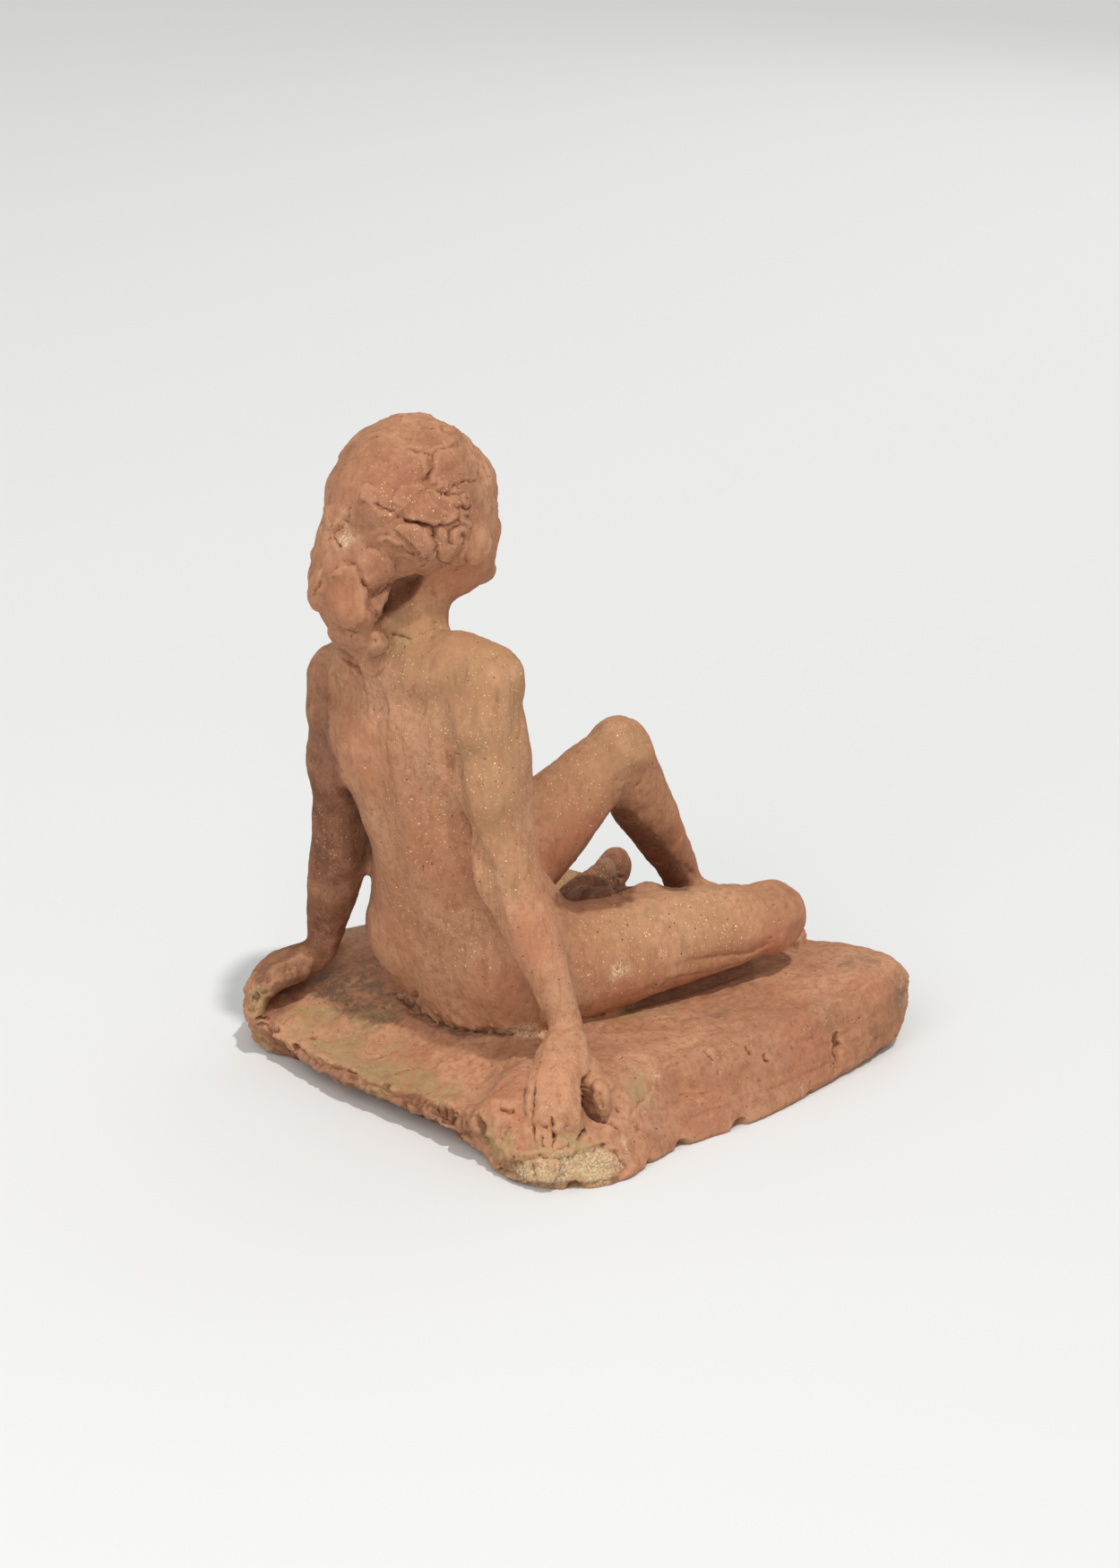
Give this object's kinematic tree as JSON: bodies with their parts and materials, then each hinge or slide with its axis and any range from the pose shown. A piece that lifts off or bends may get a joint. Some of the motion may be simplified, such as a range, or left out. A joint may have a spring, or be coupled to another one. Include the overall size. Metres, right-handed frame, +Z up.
{
  "type": "seated figure sculpture",
  "caption": "Fired clay figure study, seated leaning back on both arms with one knee raised and the other leg folded, modelled in one piece with a rough slab.",
  "frame": {"origin": "centre of the footprint, on the flat underside of the slab", "axes": "+Z up; the figure faces -Y and its left side is +X"},
  "size_m": [0.2162, 0.2332, 0.2791],
  "materials": {
    "fired_clay": "matt unglazed red-brown terracotta with light grog specks, ochre patina on the slab's edges"
  },
  "bodies": {
    "root": {"seated_figure_on_slab": "fired_clay"}
  },
  "joints": []
}
